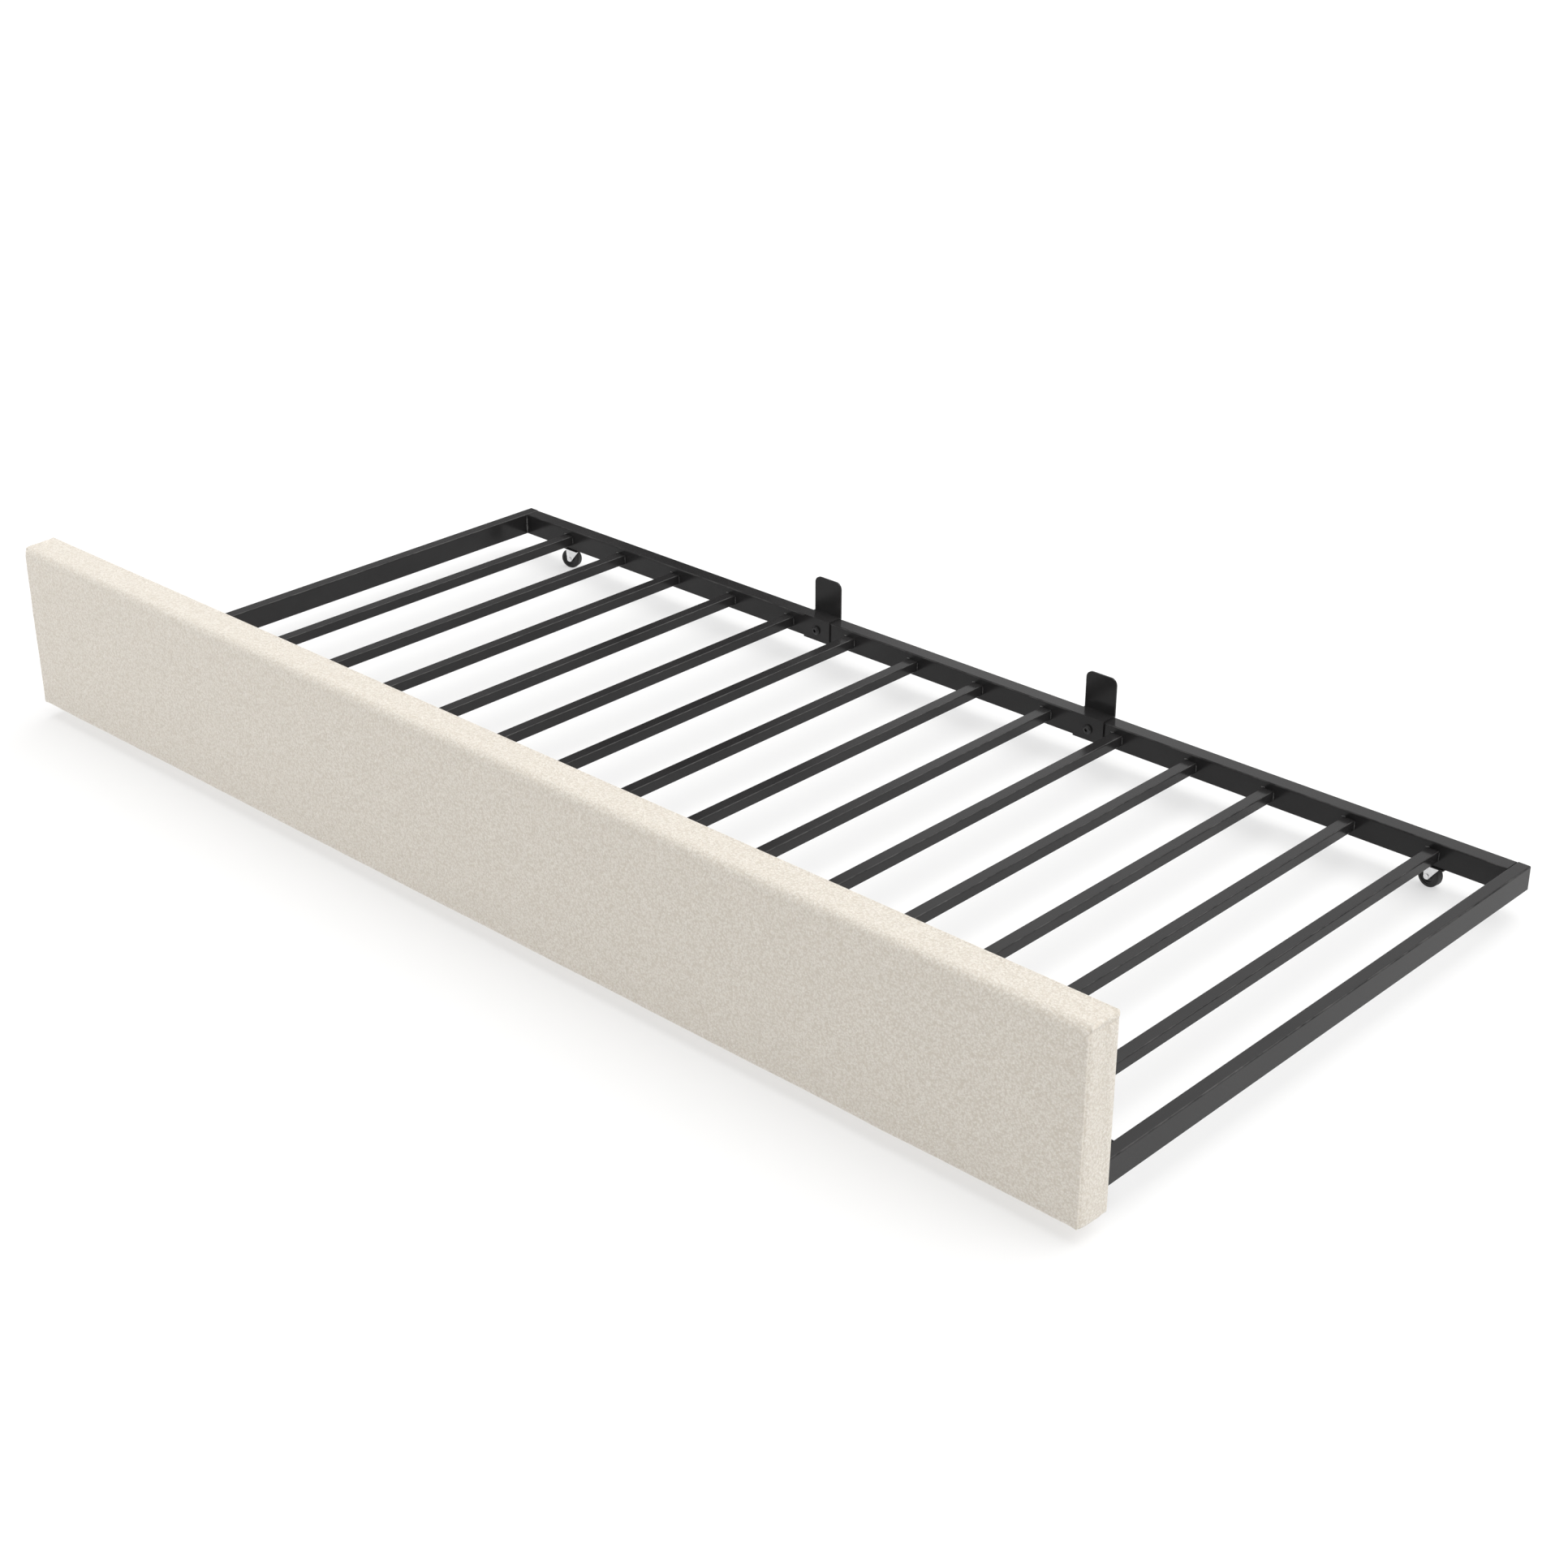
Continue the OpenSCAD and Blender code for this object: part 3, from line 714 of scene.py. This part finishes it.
def welds(material):
    """Every weld of the frame as one piece: slats, the frame's corners and the caster plates."""
    points, faces = [], []
    seed = 0
    for name in SLATS:
        low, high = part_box(name)
        for y, towards in ((high.y, -1), (low.y, 1)):
            for x, side in ((low.x, -1), (high.x, 1)):
                seed += 1
                at = Vector((x, y, 0))
                bead(points, faces, at + Vector((0, 0, low.z + 1.5 * MM)),
                     at + Vector((0, 0, high.z - 1.6 * MM)), SLAT_BEAD, seed)
            # the tack the slat was first held with
            seed += 1
            tack = Vector((low.x - 2.6 * MM, y + towards * 0.1 * MM, high.z + 0.1 * MM))
            bead(points, faces, tack, tack + Vector((6.5 * MM, 0, 0.5 * MM)), TACK_BEAD, seed)
    for rail, towards in (("front_rail", 1), ("rear_rail", -1)):
        low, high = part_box(rail)
        inner = high.y if rail == "front_rail" else low.y
        for x, side in ((low.x, 1), (high.x, -1)):
            seed += 1
            at = Vector((x + side * 0.3 * MM, inner + towards * 0.3 * MM, 0))
            bead(points, faces, at + Vector((0, 0, low.z + 2.5 * MM)),
                 at + Vector((0, 0, high.z - 2.5 * MM)), CORNER_BEAD, seed)
            seed += 1
            under = Vector((x, 0, low.z + 0.2 * MM))
            bead(points, faces, under + Vector((0, low.y + 3 * MM, 0)),
                 under + Vector((0, high.y - 3 * MM, 0)), UNDER_BEAD, seed)
    for caster in CASTERS:
        low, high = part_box(caster + "_plate")
        middle = (low.y + high.y) / 2
        for x in (low.x, high.x):
            for y in (middle - 6 * MM, middle + 6 * MM):
                seed += 1
                at = Vector((x, y, high.z - 0.6 * MM))
                reach = Vector((0, 4 * MM, 0))
                bead(points, faces, at - reach, at + reach, PLATE_BEAD, seed)
    obj = mesh_object("weld_beads", points, faces)
    obj.data.materials.append(material)
    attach(obj, "frame")


# ---------------------------------------------------------------- the scene

camera()
studio()

STEEL = powder_coat()
OXIDE = black_oxide()
ZINC = zinc_plate()
HUB = moulded("nylon_hub_black", (0.014, 0.014, 0.015), (0.03, 0.03, 0.031), 0.45, 900.0, 0.12)
TYRE = moulded("rubber_tyre_black", (0.012, 0.012, 0.012), (0.024, 0.024, 0.024), 0.62, 1300.0, 0.3)
PLUG = moulded("plug_black", (0.016, 0.016, 0.016), (0.03, 0.03, 0.03), 0.5, 1000.0, 0.2)
BOARD = fibreboard()

for node in [*RAILS, *SLATS, "left_stop", "right_stop"]:
    paint(node, STEEL)
for node in ("stop_bolts", "stop_nuts", "panel_bolts"):
    paint(node, OXIDE)
paint("side_rail_plugs", PLUG)
paint("panel_inserts", ZINC)
paint("panel_board", BOARD)
for caster in CASTERS:
    paint(caster + "_plate", STEEL)
    for part in ("_pin", "_fork", "_axle"):
        paint(caster + part, ZINC)
    paint(caster + "_hub", HUB)
    paint(caster + "_tyre", TYRE)

upholstery(teddy_fabric())
backing(dust_cloth(), ZINC)
welds(weld_metal())
